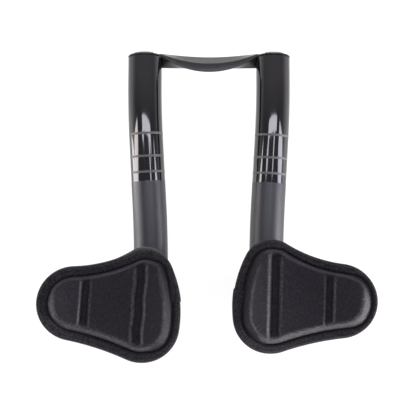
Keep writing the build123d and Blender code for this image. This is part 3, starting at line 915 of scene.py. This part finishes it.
def binding_profile(width, lap):
    """Insets and levels round the tape's section, from its upper edge over the rim and back inside."""
    rise = LAP_THICKNESS * lap
    low = FLANGE_BASE - BINDING_THICKNESS
    high = FLANGE_TOP + BINDING_THICKNESS + rise
    middle = (low + high) / 2
    half = (high - low) / 2
    fold = min(TAPE_FOLD_REACH, width - TAPE_LEAST_FLAT)
    shoulder = width - TAPE_SHOULDER_INSET
    outside = [(width, high - TAPE_EDGE_DROP), (shoulder, high - TAPE_SHOULDER_DROP)]
    outside += [(fold + (shoulder - fold) * share, high) for share in TAPE_FLAT_SHARES]
    for step in range(1, TAPE_FOLD_STEPS):
        angle = math.pi * step / TAPE_FOLD_STEPS
        reach = (fold + rise) * math.sin(angle) ** TAPE_FOLD_FULLNESS
        outside.append((fold - reach, middle + half * math.cos(angle)))
    outside += [(inset, low) for inset in TAPE_UNDER_INSETS]
    flange_edge = FLANGE_INSET - TAPE_SIDE_ROOM
    under = FLANGE_BASE - TAPE_ROOM
    over = FLANGE_TOP + TAPE_ROOM
    return outside + [(BINDING_WIDTH, under), (flange_edge, under), (flange_edge, over), (width, over)]


def binding_piece(side):
    """Tape folded over the flange's edge, with its end lapped on the pad's inner side."""
    rows = lap_rows(side)
    points = []
    cloth = []
    for (place, outward, lap), along in zip(rows, travelled([row[0] for row in rows])):
        profile = binding_profile(tape_width(side, outward, lap), lap)
        for (inset, level), across in zip(profile, travelled([Vector(corner) for corner in profile])):
            points.append(pad_point(side, place - outward * inset, level))
            cloth.append((along, across, 0.0))
    faces = ring_faces(len(rows), len(points) // len(rows), closed=True)
    piece = mesh_piece(side + "_binding", points, faces)
    store_vectors(piece, "cloth", cloth)
    join_doubles(piece)
    piece.data.set_sharp_from_angle(angle=math.radians(SHARP_FOLD_DEG))
    settle(piece, side + "_pad_binding")


# Stitches
def row_at(rows, lengths, along):
    """The row at a length along the rim, between the two nearest ones."""
    index = min(max(bisect_left(lengths, along) - 1, 0), len(rows) - 2)
    share = (along - lengths[index]) / max(TINY, lengths[index + 1] - lengths[index])
    place, outward, lap = rows[index]
    next_place, next_outward, next_lap = rows[index + 1]
    way = outward.lerp(next_outward, share).normalized()
    return place.lerp(next_place, share), way, lap + (next_lap - lap) * share


def thread_ring(side, row, share):
    """Points round a stitch's thread, a share of the way along it."""
    place, outward, lap = row
    inset = tape_width(side, outward, lap) - STITCH_INSET
    tape_top = FLANGE_TOP + BINDING_THICKNESS + LAP_THICKNESS * lap
    level = tape_top + STITCH_RADIUS * (STITCH_LIFT - STITCH_DIP * (2 * share - 1) ** 4)
    ring = []
    for step in range(STITCH_SIDES):
        angle = 2 * math.pi * step / STITCH_SIDES
        reach = STITCH_RADIUS * math.cos(angle)
        lift = STITCH_RADIUS * math.sin(angle)
        ring.append(pad_point(side, place - outward * (inset + reach), level + lift))
    return ring


def stitch_piece(side):
    """Lock stitches that hold the tape, each a short thread that dips into it at both ends."""
    rows = lap_rows(side)
    lengths = travelled([row[0] for row in rows])
    points = []
    faces = []
    for number in range(math.floor(lengths[-1] / STITCH_PITCH)):
        faces += capped_faces(STITCH_SECTIONS, STITCH_SIDES, first=len(points))
        for section in range(STITCH_SECTIONS):
            share = section / (STITCH_SECTIONS - 1)
            along = (number + 0.5) * STITCH_PITCH + STITCH_LENGTH * (share - 0.5)
            points += thread_ring(side, row_at(rows, lengths, along), share)
    piece = mesh_piece(side + "_binding_stitches", points, faces)
    piece.data.materials.append(sewing_thread)
    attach(piece, "root")


# The object
for side in SIDES:
    tube_piece(side)
    cushion_piece(side)
    binding_piece(side)
    stitch_piece(side)
for name, edge_mm in EDGE_SOFTNESS.items():
    nodes = [name] if name in frame["nodes"] else [f"{side}_{name}" for side in SIDES]
    for node in nodes:
        piece = dressed(node, edge_mm)
        if name == "end_plug":
            piece.data.materials[0] = plug_alloy
for side in SIDES:
    for name in ("hook_tape", "pad_backing"):
        layer = frame["nodes"][f"{side}_{name}"]
        layer.data.materials.clear()
        layer.data.materials.append(material_of_slot[slot_of_node[layer.name]])


# Floor, light tent, lights and camera
def add_floor():
    half = FLOOR_HALF_WIDTH
    level = lowest_z - FLOOR_DROP
    corners = [(-half, -half, level), (half, -half, level), (half, half, level), (-half, half, level)]
    piece = mesh_piece("floor", corners, [(0, 1, 2, 3)])
    piece.data.materials.append(floor_white())


def add_tent():
    """Pale surroundings: bright round the horizon and towards both ends, dimmer overhead."""
    world = bpy.data.worlds.new("light_tent")
    world.use_nodes = True
    tree = world.node_tree
    way = add(tree, "ShaderNodeTexCoord").outputs["Generated"]
    parts = add(tree, "ShaderNodeSeparateXYZ", {0: way})
    forward, upward = parts.outputs[1], parts.outputs[2]
    around = remap(tree, upward, start=0.08, end=0.4, low=0.85, high=0.31)
    front = remap(tree, forward, start=0.2, end=0.4, high=0.3)
    rear = remap(tree, forward, start=-0.4, end=-0.8)
    level = math_node(tree, "ADD", math_node(tree, "ADD", around, front), rear)
    set_sockets(tree, tree.nodes["Background"], {"Color": TENT_TINT, "Strength": level})
    bpy.context.scene.world = world


def soft_box(name, place_mm, size_mm, radiance, color, aim_mm=None, lean_deg=0.0):
    """A rectangular light of even brightness, which faces down or, where an aim is given, faces that."""
    light = bpy.data.lights.new(name, "AREA")
    light.shape = "RECTANGLE"
    light.size = size_mm[0] * MM
    light.size_y = size_mm[1] * MM
    light.energy = radiance * math.pi * light.size * light.size_y
    light.color = color
    lamp = new_object(name, light)
    lamp.location = Vector(place_mm) * MM
    if aim_mm is not None:
        facing = (Vector(aim_mm) - Vector(place_mm)).to_track_quat("-Z", "Y")
        lamp.rotation_euler = (facing @ Quaternion((0, 0, 1), math.radians(lean_deg))).to_euler()


def ceiling_strip(name, across_mm, along_mm, radiance):
    """A level strip light overhead, given by its ranges across and along the bike."""
    place = (sum(across_mm) / 2, sum(along_mm) / 2, CEILING_LEVEL)
    size = (across_mm[1] - across_mm[0], along_mm[1] - along_mm[0])
    soft_box(name, place, size, radiance, COOL_LIGHT)


def floor_card(name, across_mm, along_mm, radiance):
    """A level light just above the floor, which faces up, given by its ranges across and along the bike."""
    place = Vector((sum(across_mm) / 2, sum(along_mm) / 2, lowest_z + CARD_LIFT))
    size = (across_mm[1] - across_mm[0], along_mm[1] - along_mm[0])
    soft_box(name, place, size, radiance, WARM_LIGHT, aim_mm=place + Vector((0, 0, 1)))


def add_camera():
    lens = bpy.data.cameras.new("photo_view")
    lens.angle = math.radians(CAMERA_FIELD_DEG)
    lens.clip_end = CAMERA_REACH * MM
    view = new_object("photo_view", lens)
    view.location = Vector(CAMERA_PLACE) * MM
    view.rotation_euler = (0, 0, math.radians(CAMERA_ROLL_DEG))
    bpy.context.scene.camera = view


add_floor()
add_tent()
soft_box("left_box", place_mm=(-900, 150, 315), size_mm=(106, 650), radiance=9.5, color=WARM_LIGHT,
         aim_mm=(-40, 150, 315), lean_deg=16)
soft_box("right_box", place_mm=(800, 148, 410), size_mm=(106, 600), radiance=8.5, color=COOL_LIGHT,
         aim_mm=(40, 148, 410), lean_deg=-16)
soft_box("rear_right_box", place_mm=(860, -400, 115), size_mm=(500, 160), radiance=78.0, color=WARM_LIGHT,
         aim_mm=(60, 10, 60))
soft_box("rear_left_box", place_mm=(-835, -260, 92), size_mm=(300, 110), radiance=33.0, color=WARM_LIGHT,
         aim_mm=(-60, 0, 60))
soft_box("front_box", place_mm=(0, 800, 170), size_mm=(700, 240), radiance=7.0, color=WARM_LIGHT,
         aim_mm=(0, 150, 20))
ceiling_strip("ceiling_bar", across_mm=(-430, 620), along_mm=(274, 370), radiance=CEILING_RADIANCE)
ceiling_strip("ceiling_left_arm", across_mm=(-500, -300), along_mm=(230, 274), radiance=CEILING_RADIANCE)
ceiling_strip("ceiling_right_arm", across_mm=(285, 395), along_mm=(186, 274), radiance=CEILING_RADIANCE)
ceiling_strip("ceiling_panel", across_mm=(-500, 560), along_mm=(10, 130), radiance=0.5)
floor_card("left_card", across_mm=(-840, -165), along_mm=(58, 116), radiance=6.0)
add_camera()
bpy.context.scene.view_settings.view_transform = "Standard"

bpy.context.view_layer.update()
